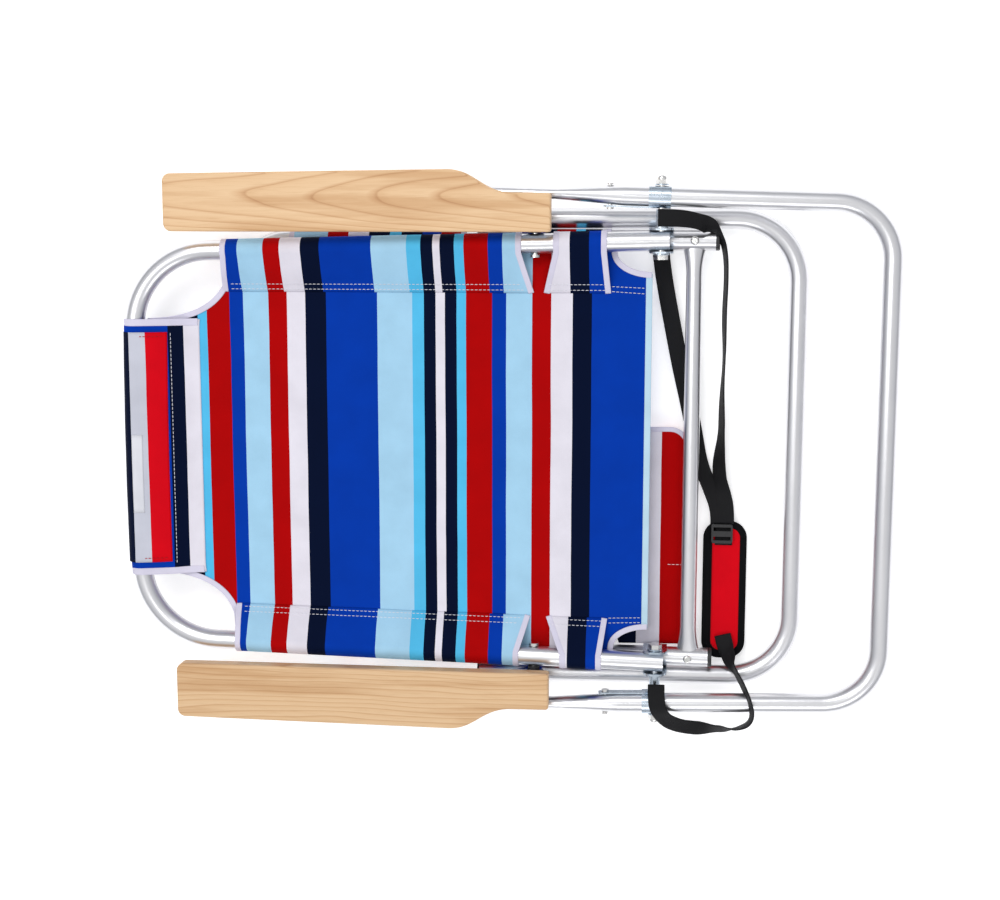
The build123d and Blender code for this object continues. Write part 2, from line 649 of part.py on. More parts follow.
def strap(points, label):
    pts = [Vector(HX + x, y, z) for x, y, z in points]
    radii = []
    for i in range(1, len(pts) - 1):
        u, v = pts[i] - pts[i - 1], pts[i + 1] - pts[i]
        turn = radians(u.get_angle(v))
        radii.append(0.45 * min(u.length, v.length) / tan(turn / 2))
    with BuildPart() as rope:
        with BuildLine() as path:
            route = FilletPolyline(*pts, radius=radii)
        with BuildSketch(Plane(origin=route @ 0, z_dir=route % 0)) as section:
            Circle(STRAP_R)
        sweep(section.sketch, path=route)
    print(label, "radii", [round(r) for r in radii], "runs", [round((pts[i + 1] - pts[i]).length) for i in range(len(pts) - 1)],
          "length", round(route.length, 1), "volume ratio", round(rope.part.volume / (pi * STRAP_R ** 2 * route.length), 4))
    finish(rope, label)
    return rope


strap_long = strap(
    [(-4, 262, 61.6), (16, 261.5, 60.5), (36, 258, 57), (54, 251, 50), (66, 239, 42), (71, 220, 36), (72, 192, 32), (70.5, 155, 29.5), (72, 110, 27), (70, 64, 24), (71, 20, 20.5),
     (68, -18, 16.5), (73, -46, 13), (78, -66, 11.7), (78, SLIDER_Y, 11.7)],
    "strap_long",
)
strap_return = strap(
    [(-1, 232, 8.2), (1, 212, 8.8), (6, 182, 10.5), (14, 142, 12.2), (23, 98, 13.4), (33, 56, 13.6), (41, 18, 13.2), (48, -16, 12.8), (61, -45, 12.2), (70, -67, 11.7), (70, SLIDER_Y, 11.7)],
    "strap_return",
)
strap_short = strap(
    [(77, -214, 11.8), (80, -226, 14), (85, -239, 24), (92, -251, 40), (100, -262, 57), (107, -276, 69), (110, -291, 70.5), (104, -305, 63),
     (89, -313, 53), (67, -315, 48), (42, -314, 50), (24, -309, 57), (11, -299, 66), (4, -286, 74.5), (2, -272, 74), (2, -260, 65)],
    "strap_short",
)

with BuildPart() as strap_pad:
    with BuildSketch(Plane.XY.offset(0.4)):
        with Locations((HX + 77, -161)):
            RectangleRounded(48, 158, 18)
    extrude(amount=8.0)
    fillet(strap_pad.faces().sort_by(Axis.Z)[-1].edges(), 2.4)
    fillet(strap_pad.faces().sort_by(Axis.Z)[0].edges(), 1.6)
finish(strap_pad, "strap_pad")

with BuildPart() as strap_slider:
    with BuildSketch(Plane.XY.offset(8.7)):
        with Locations((HX + 74, SLIDER_Y - 11.2)):
            RectangleRounded(24, 22, 3)
            with Locations((0, 5.4), (0, -5.4)):
                Rectangle(19.6, 4.4, mode=Mode.SUBTRACT)
    extrude(amount=6.0)
finish(strap_slider, "strap_slider")
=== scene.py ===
import bpy, math, json, random
from mathutils import Vector, Matrix, noise


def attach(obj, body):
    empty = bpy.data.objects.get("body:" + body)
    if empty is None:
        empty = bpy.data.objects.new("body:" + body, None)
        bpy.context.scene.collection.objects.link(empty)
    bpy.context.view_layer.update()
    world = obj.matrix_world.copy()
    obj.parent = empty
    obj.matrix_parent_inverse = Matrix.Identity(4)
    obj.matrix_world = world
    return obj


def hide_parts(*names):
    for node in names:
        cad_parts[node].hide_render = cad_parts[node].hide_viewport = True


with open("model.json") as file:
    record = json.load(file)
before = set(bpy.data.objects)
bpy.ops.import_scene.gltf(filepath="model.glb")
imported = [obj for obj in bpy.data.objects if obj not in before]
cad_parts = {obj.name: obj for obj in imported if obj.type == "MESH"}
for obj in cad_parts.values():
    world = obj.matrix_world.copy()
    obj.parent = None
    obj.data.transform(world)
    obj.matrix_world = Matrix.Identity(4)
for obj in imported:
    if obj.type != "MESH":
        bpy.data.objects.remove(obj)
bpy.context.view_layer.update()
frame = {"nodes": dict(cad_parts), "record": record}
random.seed(7)
HX = 0.1743
HZ = 0.052
C = bpy.context.scene.collection


def P(x, y, z):
    """mm from the hinge axis to metres in the row frame"""
    return Vector((HX + x / 1000, y / 1000, z / 1000))


# ------------------------------------------------------------------ camera
cam_data = bpy.data.cameras.new("view_camera")
cam = bpy.data.objects.new("view_camera", cam_data)
C.objects.link(cam)
cam_data.sensor_width = 36
cam_data.lens = 1580.2 * 36 / 1000
cam_data.clip_start = 0.05
rot = Matrix.Rotation(0.00054, 3, "Z") @ Matrix.Rotation(0.10326, 3, "Y") @ Matrix.Rotation(-0.14937, 3, "X")
cam.matrix_world = Matrix.Translation((0.17842, 0.26787, 1.8)) @ rot.to_4x4()
bpy.context.scene.camera = cam


# ------------------------------------------------------------------ material tools
def new_mat(name):
    m = bpy.data.materials.new(name)
    m.use_nodes = True
    nt = m.node_tree
    b = nt.nodes["Principled BSDF"]
    return m, nt, b


def node(nt, kind, **sets):
    n = nt.nodes.new(kind)
    for k, v in sets.items():
        if k.startswith("in_"):
            n.inputs[k[3:].replace("_", " ")].default_value = v
        else:
            setattr(n, k, v)
    return n


def coords(nt, scale=(1, 1, 1), rotation=(0, 0, 0), kind="Object"):
    tc = node(nt, "ShaderNodeTexCoord")
    mp = node(nt, "ShaderNodeMapping")
    mp.inputs["Scale"].default_value = scale
    mp.inputs["Rotation"].default_value = rotation
    nt.links.new(tc.outputs[kind], mp.inputs["Vector"])
    return mp.outputs["Vector"]


def ramp(nt, fac, stops, interp="LINEAR"):
    r = node(nt, "ShaderNodeValToRGB")
    cr = r.color_ramp
    cr.interpolation = interp
    while len(cr.elements) > 1:
        cr.elements.remove(cr.elements[-1])
    cr.elements[0].position = stops[0][0]
    cr.elements[0].color = (*stops[0][1], 1) if len(stops[0][1]) == 3 else stops[0][1]
    for pos, col in stops[1:]:
        e = cr.elements.new(pos)
        e.color = (*col, 1) if len(col) == 3 else col
    nt.links.new(fac, r.inputs["Fac"])
    return r.outputs["Color"]


def bump(nt, b, height, strength, distance, prev=None):
    bn = node(nt, "ShaderNodeBump")
    bn.inputs["Strength"].default_value = strength
    bn.inputs["Distance"].default_value = distance
    nt.links.new(height, bn.inputs["Height"])
    if prev is not None:
        nt.links.new(prev, bn.inputs["Normal"])
    nt.links.new(bn.outputs["Normal"], b.inputs["Normal"])
    return bn.outputs["Normal"]


def metal(name, col_a, col_b, rough_a, rough_b, scale=(40, 40, 40), bump_d=0.00002, brush=True):
    m, nt, b = new_mat(name)
    v = coords(nt, scale)
    n = node(nt, "ShaderNodeTexNoise", in_Scale=3.0, in_Detail=6.0, in_Roughness=0.6)
    nt.links.new(v, n.inputs["Vector"])
    nt.links.new(ramp(nt, n.outputs["Fac"], [(0.3, col_a), (0.7, col_b)]), b.inputs["Base Color"])
    rr = ramp(nt, n.outputs["Fac"], [(0.25, (rough_a,) * 3), (0.75, (rough_b,) * 3)])
    nt.links.new(rr, b.inputs["Roughness"])
    b.inputs["Metallic"].default_value = 1.0
    v2 = coords(nt, (60, 900, 900) if brush else (300, 300, 300))
    n2 = node(nt, "ShaderNodeTexNoise", in_Scale=2.0, in_Detail=3.0)
    nt.links.new(v2, n2.inputs["Vector"])
    bump(nt, b, n2.outputs["Fac"], 0.15, bump_d)
    return m


def srgb(r, g, b):
    def f(c):
        c /= 255
        return c / 12.92 if c <= 0.04045 else ((c + 0.055) / 1.055) ** 2.4
    return (f(r), f(g), f(b))


BLUE, PALE, SKY = srgb(0, 58, 172), srgb(172, 217, 244), srgb(88, 196, 242)
RED, NAVY, WHITE = srgb(180, 0, 2), srgb(2, 14, 44), srgb(236, 232, 242)
BRIGHT, GREY = srgb(222, 0, 22), srgb(206, 208, 220)


def cloth(name, bands, x_lo=-620, x_hi=60, axis="X", weave=2600, rough=0.85, sheen=0.0):
    """Woven polyester, printed in stripes. bands: (x in mm from the hinge where the band starts, colour)"""
    m, nt, b = new_mat(name)
    tc = node(nt, "ShaderNodeTexCoord")
    sep = node(nt, "ShaderNodeSeparateXYZ")
    nt.links.new(tc.outputs["Object"], sep.inputs[0])
    wob = node(nt, "ShaderNodeTexNoise", in_Scale=9.0, in_Detail=2.0)
    nt.links.new(tc.outputs["Object"], wob.inputs["Vector"])
    wa = node(nt, "ShaderNodeMath", operation="MULTIPLY_ADD")
    nt.links.new(wob.outputs["Fac"], wa.inputs[0])
    wa.inputs[1].default_value = 0.0016
    wa.inputs[2].default_value = -0.0008
    add = node(nt, "ShaderNodeMath", operation="ADD")
    nt.links.new(sep.outputs[axis], add.inputs[0])
    nt.links.new(wa.outputs[0], add.inputs[1])
    mr = node(nt, "ShaderNodeMapRange")
    mr.inputs["From Min"].default_value = HX + x_lo / 1000 if axis == "X" else x_lo / 1000
    mr.inputs["From Max"].default_value = HX + x_hi / 1000 if axis == "X" else x_hi / 1000
    nt.links.new(add.outputs[0], mr.inputs["Value"])
    stops = [(max(0.0, (x - x_lo) / (x_hi - x_lo)), c) for x, c in bands]
    if stops[0][0] > 0:
        stops[0] = (0.0, stops[0][1])
    base = ramp(nt, mr.outputs["Result"], stops, "CONSTANT")
    # slight unevenness of dye and thread
    n = node(nt, "ShaderNodeTexNoise", in_Scale=30.0, in_Detail=5.0)
    nt.links.new(tc.outputs["Object"], n.inputs["Vector"])
    shade = ramp(nt, n.outputs["Fac"], [(0.3, (0.90,) * 3), (0.7, (1.0,) * 3)])
    mix = node(nt, "ShaderNodeMix", data_type="RGBA", blend_type="MULTIPLY")
    mix.inputs["Factor"].default_value = 1.0
    nt.links.new(base, mix.inputs[6])
    nt.links.new(shade, mix.inputs[7])
    # weave: two crossed sets of threads
    w1 = node(nt, "ShaderNodeTexWave", wave_type="BANDS", bands_direction="X", in_Scale=weave / 6.28, in_Distortion=0.6, in_Detail=1.0)
    w2 = node(nt, "ShaderNodeTexWave", wave_type="BANDS", bands_direction="Y", in_Scale=weave / 6.28, in_Distortion=0.6, in_Detail=1.0)
    nt.links.new(tc.outputs["Object"], w1.inputs["Vector"])
    nt.links.new(tc.outputs["Object"], w2.inputs["Vector"])
    mx = node(nt, "ShaderNodeMath", operation="MAXIMUM")
    nt.links.new(w1.outputs["Fac"], mx.inputs[0])
    nt.links.new(w2.outputs["Fac"], mx.inputs[1])
    dark = ramp(nt, mx.outputs[0], [(0.2, (0.86,) * 3), (0.9, (1.0,) * 3)])
    mix2 = node(nt, "ShaderNodeMix", data_type="RGBA", blend_type="MULTIPLY")
    mix2.inputs["Factor"].default_value = 1.0
    nt.links.new(mix.outputs[2], mix2.inputs[6])
    nt.links.new(dark, mix2.inputs[7])
    nt.links.new(mix2.outputs[2], b.inputs["Base Color"])
    b.inputs["Roughness"].default_value = rough
    b.inputs["Sheen Weight"].default_value = sheen
    b.inputs["Specular IOR Level"].default_value = 0.08
    h1 = bump(nt, b, mx.outputs[0], 0.35, 0.00012)
    n3 = node(nt, "ShaderNodeTexNoise", in_Scale=26.0, in_Detail=3.0)
    nt.links.new(tc.outputs["Object"], n3.inputs["Vector"])
    bump(nt, b, n3.outputs["Fac"], 0.12, 0.0012, h1)
    return m


def plain_cloth(name, col, weave=2600, rough=0.8, sheen=0.0):
    return cloth(name, [(-620, col)], weave=weave, rough=rough, sheen=sheen)


ALU = metal("aluminium_tube", (0.72, 0.72, 0.745), (0.78, 0.78, 0.80), 0.27, 0.33, (4, 4, 4), bump_d=0.000004)
ZINC = metal("zinc_steel", (0.44, 0.52, 0.60), (0.62, 0.69, 0.77), 0.20, 0.32, (22, 22, 22), bump_d=0.000008, brush=False)
NICKEL = metal("nickel_fastener", (0.70, 0.70, 0.69), (0.84, 0.83, 0.81), 0.12, 0.22, (40, 40, 40), bump_d=0.000005, brush=False)


def black_plastic():
    m, nt, b = new_mat("black_plastic")
    v = coords(nt, (1, 1, 1))
    n = node(nt, "ShaderNodeTexNoise", in_Scale=900.0, in_Detail=4.0)
    nt.links.new(v, n.inputs["Vector"])
    nt.links.new(ramp(nt, n.outputs["Fac"], [(0.3, (0.010, 0.010, 0.011)), (0.75, (0.026, 0.026, 0.028))]), b.inputs["Base Color"])
    nt.links.new(ramp(nt, n.outputs["Fac"], [(0.3, (0.38,) * 3), (0.7, (0.52,) * 3)]), b.inputs["Roughness"])
    bump(nt, b, n.outputs["Fac"], 0.3, 0.00006)
    return m


PLASTIC = black_plastic()


def wood(name, seed, y0, z0, slope, tint=1.0, rings=300.0, warp_m=0.0085):
    """flat-sawn pale hardwood: growth rings cut at a shallow angle, so they nest as arches along the board"""
    m, nt, b = new_mat(name)
    tc = node(nt, "ShaderNodeTexCoord")
    mp = node(nt, "ShaderNodeMapping")
    mp.inputs["Location"].default_value = (seed, seed * 0.37, 0)
    mp.inputs["Scale"].default_value = (3.0, 16.0, 16.0)
    nt.links.new(tc.outputs["Object"], mp.inputs["Vector"])
    warp = node(nt, "ShaderNodeTexNoise", in_Scale=1.0, in_Detail=2.0)
    nt.links.new(mp.outputs["Vector"], warp.inputs["Vector"])
    sep = node(nt, "ShaderNodeSeparateXYZ")
    nt.links.new(tc.outputs["Object"], sep.inputs[0])

    def math_node(op, x, y, z=None):
        n = node(nt, "ShaderNodeMath", operation=op)
        for i, v in enumerate((x, y, z)):
            if v is None:
                continue
            if isinstance(v, (int, float)):
                n.inputs[i].default_value = v
            else:
                nt.links.new(v, n.inputs[i])
        return n.outputs[0]

    dy = math_node("SUBTRACT", sep.outputs["Y"], y0)
    dz = math_node("MULTIPLY_ADD", sep.outputs["X"], slope, z0)
    dz = math_node("ADD", dz, sep.outputs["Z"])
    rr = math_node("ADD", math_node("MULTIPLY", dy, dy), math_node("MULTIPLY", dz, dz))
    r = math_node("POWER", rr, 0.5)
    r = math_node("MULTIPLY_ADD", warp.outputs["Fac"], warp_m, r)
    ringn = math_node("FRACT", math_node("MULTIPLY", r, rings), 0.0)
    base = ramp(nt, ringn, [(0.0, tuple(c * tint for c in srgb(204, 158, 114))), (0.06, tuple(c * tint for c in srgb(221, 180, 136))), (0.18, tuple(c * tint for c in srgb(234, 198, 155))),
                            (0.8, tuple(c * tint for c in srgb(231, 193, 149))), (0.97, tuple(c * tint for c in srgb(224, 184, 139))), (1.0, tuple(c * tint for c in srgb(206, 161, 117)))])
    mp2 = node(nt, "ShaderNodeMapping")
    mp2.inputs["Location"].default_value = (seed * 2, 0, 0)
    mp2.inputs["Scale"].default_value = (16.0, 420.0, 200.0)
    nt.links.new(tc.outputs["Object"], mp2.inputs["Vector"])
    fib = node(nt, "ShaderNodeTexNoise", in_Scale=2.2, in_Detail=5.0, in_Roughness=0.65)
    nt.links.new(mp2.outputs["Vector"], fib.inputs["Vector"])
    fibc = ramp(nt, fib.outputs["Fac"], [(0.30, (0.84, 0.78, 0.70)), (0.50, (1, 1, 1))])
    mix = node(nt, "ShaderNodeMix", data_type="RGBA", blend_type="MULTIPLY")
    mix.inputs["Factor"].default_value = 0.6
    nt.links.new(base, mix.inputs[6])
    nt.links.new(fibc, mix.inputs[7])
    # long darker streaks along the board
    mp3 = node(nt, "ShaderNodeMapping")
    mp3.inputs["Location"].default_value = (seed * 1.3, seed, 0)
    mp3.inputs["Scale"].default_value = (4.5, 75.0, 30.0)
    nt.links.new(tc.outputs["Object"], mp3.inputs["Vector"])
    n4 = node(nt, "ShaderNodeTexNoise", in_Scale=1.0, in_Detail=3.0)
    nt.links.new(mp3.outputs["Vector"], n4.inputs["Vector"])
    mix2 = node(nt, "ShaderNodeMix", data_type="RGBA", blend_type="MULTIPLY")
    mix2.inputs["Factor"].default_value = 1.0
    nt.links.new(mix.outputs[2], mix2.inputs[6])
    nt.links.new(ramp(nt, n4.outputs["Fac"], [(0.34, (0.84, 0.76, 0.68)), (0.52, (1, 1, 1))]), mix2.inputs[7])
    nt.links.new(mix2.outputs[2], b.inputs["Base Color"])
    b.inputs["Roughness"].default_value = 0.45
    b.inputs["Specular IOR Level"].default_value = 0.3
    b.inputs["Coat Weight"].default_value = 0.12
    b.inputs["Coat Roughness"].default_value = 0.35
    bump(nt, b, fib.outputs["Fac"], 0.12, 0.0002)
    return m


WOOD_R = wood("armrest_wood_right", 3.1, 0.287, -0.034, -0.042)
WOOD_L = wood("armrest_wood_left", 8.4, -0.350, -0.070, 0.075, 0.93, 150.0, 0.045)


def webbing(name, base=(0.003, 0.003, 0.004), light=(0.016, 0.016, 0.018)):
    m, nt, b = new_mat(name)
    uv = node(nt, "ShaderNodeUVMap")
    w1 = node(nt, "ShaderNodeTexWave", wave_type="BANDS", bands_direction="X", in_Scale=2.2, in_Distortion=0.3)
    w2 = node(nt, "ShaderNodeTexWave", wave_type="BANDS", bands_direction="Y", in_Scale=100.0, in_Distortion=0.4)
    nt.links.new(uv.outputs[0], w1.inputs["Vector"])
    nt.links.new(uv.outputs[0], w2.inputs["Vector"])
    mx = node(nt, "ShaderNodeMath", operation="MULTIPLY")
    nt.links.new(w1.outputs["Fac"], mx.inputs[0])
    nt.links.new(w2.outputs["Fac"], mx.inputs[1])
    nt.links.new(ramp(nt, mx.outputs[0], [(0.0, base), (1.0, light)]), b.inputs["Base Color"])
    b.inputs["Roughness"].default_value = 0.6
    b.inputs["Specular IOR Level"].default_value = 0.2
    bump(nt, b, mx.outputs[0], 0.5, 0.0003)
    return m


WEB = webbing("black_webbing")
THREAD = plain_cloth("white_thread", srgb(240, 240, 246), weave=6000, rough=0.55)
BIND = cloth("binding_tape", [(-620, srgb(226, 222, 240))], weave=4200, rough=0.8, sheen=0.0)
STRIPES = [(-620, NAVY)] + list(zip(
    [-524.5, -515.0, -489.0, -472.5, -443.0, -423.1, -400.9, -378.0, -319.4, -279.5, -265.0, -251.6, -242.2, -228.4, -216.9, -189.5, -173.6, -142.9, -122.5, -98.7, -77.3, -15.6],
    [SKY, RED, BLUE, PALE, RED, WHITE, NAVY, BLUE, PALE, SKY, NAVY, WHITE, NAVY, SKY, RED, BLUE, PALE, RED, WHITE, NAVY, BLUE, PALE]))
PANEL = cloth("sling_stripes", STRIPES)
FLAPS = cloth("flap_stripes", [(x - 1.0, c) for x, c in STRIPES])
SEATC = cloth("seat_stripes", [(-620, BLUE), (-441, BLUE), (-419, PALE), (-376, RED), (-352, WHITE), (-330, NAVY), (-306, SKY), (-292, NAVY), (-268, BLUE), (-246, RED), (-219, PALE), (-186, BLUE),
                               (-130, NAVY), (-116, RED), (-96, SKY), (-84, NAVY), (-66, WHITE), (-40, BLUE)])


# ------------------------------------------------------------------ mesh tools
def mesh_obj(name, verts, faces, mat, smooth=True, uvs=None):
    me = bpy.data.meshes.new(name)
    me.from_pydata([tuple(v) for v in verts], [], faces)
    me.materials.append(mat)
    if uvs:
        lay = me.uv_layers.new(name="UVMap")
        for poly in me.polygons:
            for li in poly.loop_indices:
                lay.data[li].uv = uvs[me.loops[li].vertex_index]
    if smooth:
        me.polygons.foreach_set("use_smooth", [True] * len(me.polygons))
    me.update()
    o = bpy.data.objects.new(name, me)
    C.objects.link(o)
    return o


def sheet_grid(name, fn, nu, nv, thick, mat, smooth=True):
    """closed thin sheet from fn(u, v) over [0,1]x[0,1]"""
    pts = [[fn(i / nu, j / nv) for j in range(nv + 1)] for i in range(nu + 1)]
    nrm = []
    for i in range(nu + 1):
        row = []
        for j in range(nv + 1):
            a = pts[min(i + 1, nu)][j] - pts[max(i - 1, 0)][j]
            b = pts[i][min(j + 1, nv)] - pts[i][max(j - 1, 0)]
            n = a.cross(b)
            row.append(n.normalized() if n.length > 1e-12 else Vector((0, 0, 1)))
        nrm.append(row)
    verts, faces = [], []
    W = nv + 1
    for s in (0.5, -0.5):
        for i in range(nu + 1):
            for j in range(nv + 1):
                verts.append(pts[i][j] + nrm[i][j] * thick * s)
    off = (nu + 1) * W
    for i in range(nu):
        for j in range(nv):
            a, b, c, d = i * W + j, (i + 1) * W + j, (i + 1) * W + j + 1, i * W + j + 1
            faces.append((a, b, c, d))
            faces.append((off + d, off + c, off + b, off + a))
    for i in range(nu):
        a, b = i * W, (i + 1) * W
        faces.append((a, off + a, off + b, b))
        a, b = i * W + nv, (i + 1) * W + nv
        faces.append((a, b, off + b, off + a))
    for j in range(nv):
        a, b = j, j + 1
        faces.append((a, b, off + b, off + a))
        a, b = nu * W + j, nu * W + j + 1
        faces.append((a, off + a, off + b, b))
    return mesh_obj(name, verts, faces, mat, smooth)


def frames(path):
    n = len(path)
    tans = []
    for i in range(n):
        t = path[min(i + 1, n - 1)] - path[max(i - 1, 0)]
        tans.append(t.normalized())
    return tans


def band_along(name, path, wdirs, width, thick, mat, uvscale=100.0, crown=0.0, caps=True):
    """flat band with rounded edges along a path; wdirs gives the width direction at each point; width may be a list"""
    n = len(path)
    tans = frames(path)
    sec = [(-1.0, 0.0), (-0.94, 0.75), (-0.8, 1.0), (-0.4, 1.0), (0, 1.0), (0.4, 1.0), (0.8, 1.0), (0.94, 0.75), (1.0, 0.0), (0.94, -0.75), (0.8, -1.0), (0.4, -1.0), (0, -1.0), (-0.4, -1.0), (-0.8, -1.0), (-0.94, -0.75)]
    k = len(sec)
    verts, faces, uvs = [], [], []
    s = 0.0
    for i in range(n):
        if i:
            s += (path[i] - path[i - 1]).length
        w = wdirs[i] - tans[i] * wdirs[i].dot(tans[i])
        w.normalize()
        nn = tans[i].cross(w).normalized()
        wd = width[i] if isinstance(width, (list, tuple)) else width
        for a, b in sec:
            verts.append(path[i] + w * (a * wd / 2) + nn * (b * thick / 2 + crown * (1 - a * a)))
            uvs.append(((a + 1) / 2 * 4, s * uvscale / 10))
    for i in range(n - 1):
        for j in range(k):
            a, b = i * k + j, i * k + (j + 1) % k
            faces.append((a, b, b + k, a + k))
    if caps:
        faces.append(tuple(reversed(range(k))))
        faces.append(tuple((n - 1) * k + j for j in range(k)))
    return mesh_obj(name, verts, faces, mat, True, uvs)


def resample(pts, step):
    out = [pts[0].copy()]
    left = step
    for a, b in zip(pts, pts[1:]):
        d = (b - a).length
        t = 0.0
        while d - t >= left:
            t += left
            out.append(a.lerp(b, t / d))
            left = step
        left -= d - t
    if (out[-1] - pts[-1]).length > step * 0.3:
        out.append(pts[-1].copy())
    return out


def stitches(name, rows, body, mat=None, stitch=0.0036, gap=0.0011, r=0.00036):
    """lines of sewing thread, each stitch a small rounded bar that dips at its ends"""
    verts, faces = [], []
    for path, nrm in rows:
        pts = resample(path, (stitch + gap) / 2)
        i = 0
        while i + 2 < len(pts):
            a, m, c = pts[i], pts[i + 1], pts[i + 2]
            t = (c - a).normalized()
            a2, c2 = a.lerp(c, 0.08), c.lerp(a, 0.16)
            n = nrm
            w = t.cross(n).normalized()
            base = len(verts)
            for q, lift, rr in ((a2, -0.2, 0.35), (a2.lerp(c2, 0.2), 0.7, 1.0), (m, 1.0, 1.1), (a2.lerp(c2, 0.8), 0.7, 1.0), (c2, -0.2, 0.35)):
                for kx, ky in ((1, 0), (0.5, 0.87), (-0.5, 0.87), (-1, 0), (-0.5, -0.87), (0.5, -0.87)):
                    verts.append(q + w * (kx * r * rr) + n * (ky * r * rr + lift * r))
            for s in range(4):
                for j in range(6):
                    x, y = base + s * 6 + j, base + s * 6 + (j + 1) % 6
                    faces.append((x, y, y + 6, x + 6))
            faces.append(tuple(base + j for j in reversed(range(6))))
            faces.append(tuple(base + 24 + j for j in range(6)))
            i += 2
    o = mesh_obj(name, verts, faces, mat or THREAD)
    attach(o, body)
    return o


def wav(p, f=20.0, a=0.001, off=0.0):
    return a * noise.noise(Vector((p[0] * f + off, p[1] * f * 0.35, off)))


# ------------------------------------------------------------------ carry strap
def nurbs_path(name, pts, res=14):
    cu = bpy.data.curves.new(name, "CURVE")
    cu.dimensions = "3D"
    sp = cu.splines.new("NURBS")
    sp.points.add(len(pts) - 1)
    for q, p in zip(sp.points, pts):
        q.co = (*p, 1)
    sp.order_u = 3
    sp.use_endpoint_u = True
    sp.resolution_u = res
    ob = bpy.data.objects.new(name, cu)
    C.objects.link(ob)
    me = bpy.data.meshes.new_from_object(ob)
    out = [v.co.copy() for v in me.vertices]
    bpy.data.meshes.remove(me)
    bpy.data.objects.remove(ob)
    bpy.data.curves.remove(cu)
    return out


def along(path, keys):
    """interpolated vectors for keys [(fraction, vector)]"""
    d = [0.0]
    for a, b in zip(path, path[1:]):
        d.append(d[-1] + (b - a).length)
    L = d[-1]
    out = []
    for s in d:
        f = s / L
        for (f0, v0), (f1, v1) in zip(keys, keys[1:]):
            if f <= f1 + 1e-9:
                t = 0 if f1 == f0 else max(0.0, (f - f0) / (f1 - f0))
                t = t * t * (3 - 2 * t)
                out.append(Vector(v0).lerp(Vector(v1), t).normalized())
                break
        else:
            out.append(Vector(keys[-1][1]).normalized())
    return out, L


LONG = [P(*p) for p in [(-4, 262, 61.6), (16, 262, 60.5), (36, 259.5, 56), (54, 253, 45), (66, 240, 38), (71, 221, 34), (72, 192, 32), (70.5, 155, 29.5), (72, 110, 27), (70, 64, 24), (71, 20, 20.5),
                        (68, -18, 16.5), (73, -46, 13), (78, -66, 11.7), (78, -84, 11.7)]]
RETURN = [P(*p) for p in [(-1, 232, 8.2), (1, 212, 8.8), (6, 182, 10.5), (14, 142, 12.2), (23, 98, 13.4), (33, 56, 13.6), (41, 18, 13.2), (48, -16, 12.8), (61, -45, 12.2), (70, -67, 11.7), (70, -84, 11.7)]]
SHORT = [P(*p) for p in [(77, -214, 11.8), (80, -226, 14), (85, -239, 24), (92, -251, 40), (100, -262, 57), (107, -276, 69), (110, -291, 70.5), (104, -305, 63),
                         (89, -313, 53), (67, -315, 48), (42, -314, 50), (24, -309, 57), (11, -299, 66), (4, -286, 74.5), (2, -272, 74), (2, -260, 65)]]

path_long = nurbs_path("route_long", LONG)
path_ret = nurbs_path("route_return", RETURN)
path_short = nurbs_path("route_short", list(reversed(SHORT)))

wd, len_long = along(path_long, [(0, (0.15, 1, -0.1)), (0.10, (-0.2, 1, -0.25)), (0.2, (0.2, 0.25, 1)), (0.42, (0.22, 0, 1)), (0.55, (0.1, 0, 1)), (0.72, (0.35, 0, 1)), (0.86, (0.8, 0, 0.6)), (0.94, (1, 0, 0)), (1, (1, 0, 0))])
w_long = band_along("carry_strap_long", path_long, wd, 0.019, 0.0016, WEB)
wd, len_ret = along(path_ret, [(0, (1, 0, 0)), (0.3, (1, 0.2, 0.12)), (0.6, (1, 0.2, -0.12)), (0.8, (0.9, 0.1, -0.45)), (1, (1, 0, 0))])
w_ret = band_along("carry_strap_return", path_ret, wd, 0.019, 0.0016, WEB)
wd, len_short = along(path_short, [(0, (1, 0, 0)), (0.14, (1, 0.1, 0)), (0.22, (0.85, 0.55, 0)), (0.32, (0.45, 0.85, 0.2)), (0.42, (0.1, 0.6, 0.7)), (0.52, (0, 0.12, 1)), (0.64, (0.25, 0.1, 1)), (0.74, (0.3, 0, 1)), (0.83, (0.2, 0.2, 1)), (0.91, (0.8, 0.4, 0.5)), (0.97, (1, 0.1, 0)), (1, (1, 0.1, 0))])
w_short = band_along("carry_strap_short", path_short, wd, 0.019, 0.0016, WEB)
for o, n in ((w_long, "strap_long"), (w_ret, "strap_return"), (w_short, "strap_short")):
    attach(o, "seat")
    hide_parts(n)


# shoulder pad: crowned foam pad with a bound black edge
def rrect(cx, cy, hx, hy, r, n=10):
    pts = []
    for qx, qy, a0 in ((1, 1, 0), (-1, 1, 90), (-1, -1, 180), (1, -1, 270)):
        for i in range(n + 1):
            a = math.radians(a0 + 90 * i / n)
            pts.append((cx + qx * (hx - r) + r * math.cos(a), cy + qy * (hy - r) + r * math.sin(a)))
    return pts


